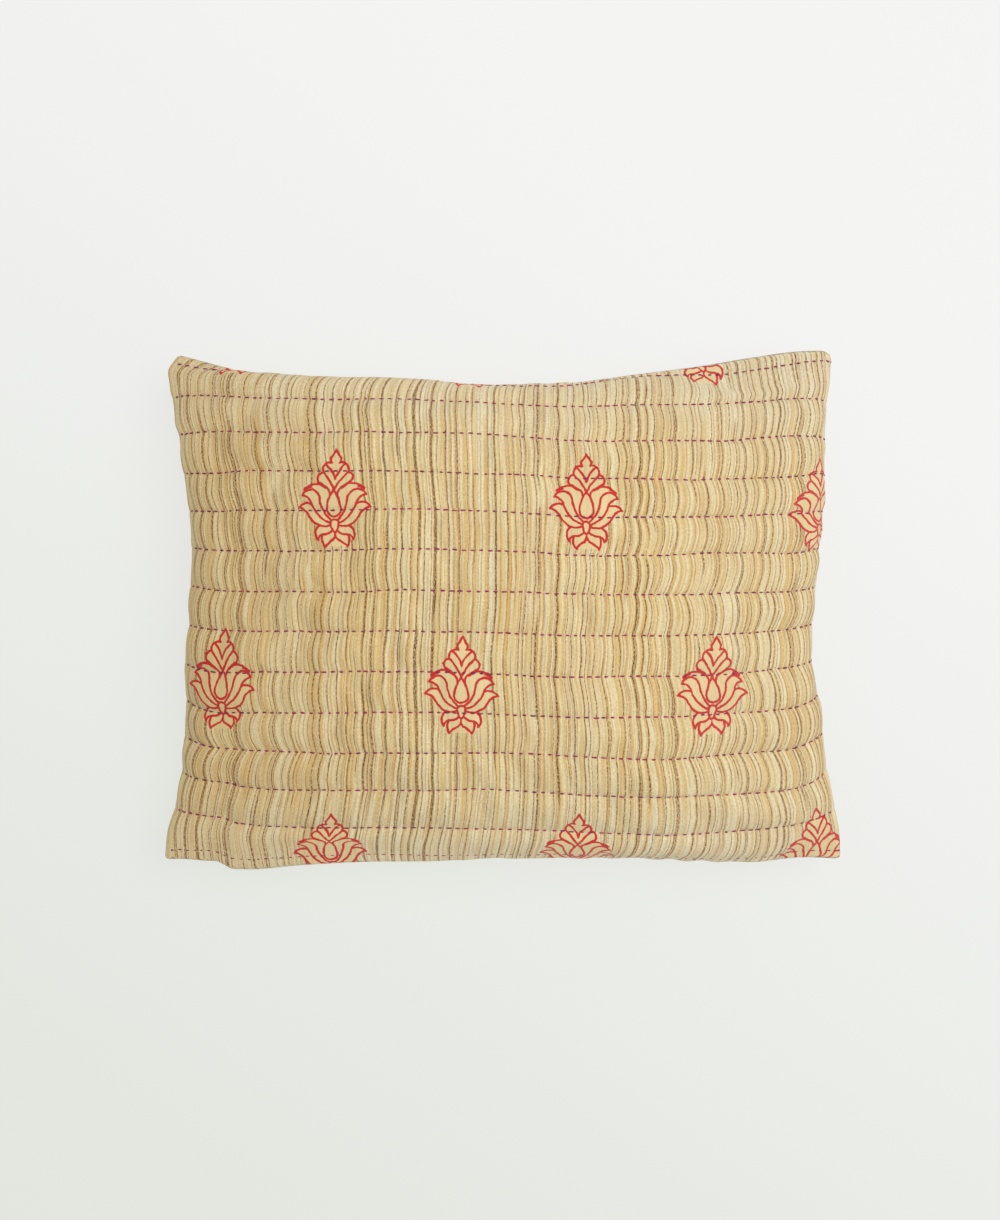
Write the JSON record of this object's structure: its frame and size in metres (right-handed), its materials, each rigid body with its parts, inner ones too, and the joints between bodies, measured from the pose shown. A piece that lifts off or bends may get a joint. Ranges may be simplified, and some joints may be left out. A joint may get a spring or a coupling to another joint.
{
  "type": "lumbar pillow",
  "caption": "Small rectangular stuffed pillow with a knife edge and rows of running-stitch quilting across both faces, for lower-back support on a seat or sofa.",
  "frame": {"origin": "on the surface the pillow lies on, under the middle of its bounding box", "axes": "+X along the long side and the stitch rows, +Y towards the top edge, +Z out of the front face"},
  "size_m": [0.399, 0.3058, 0.0951],
  "materials": {
    "quilted_cotton": "beige cotton with narrow cream, ochre and dark brown stripes, red block print and purple running stitch"
  },
  "bodies": {
    "root": {"cushion": "quilted_cotton"}
  },
  "joints": []
}
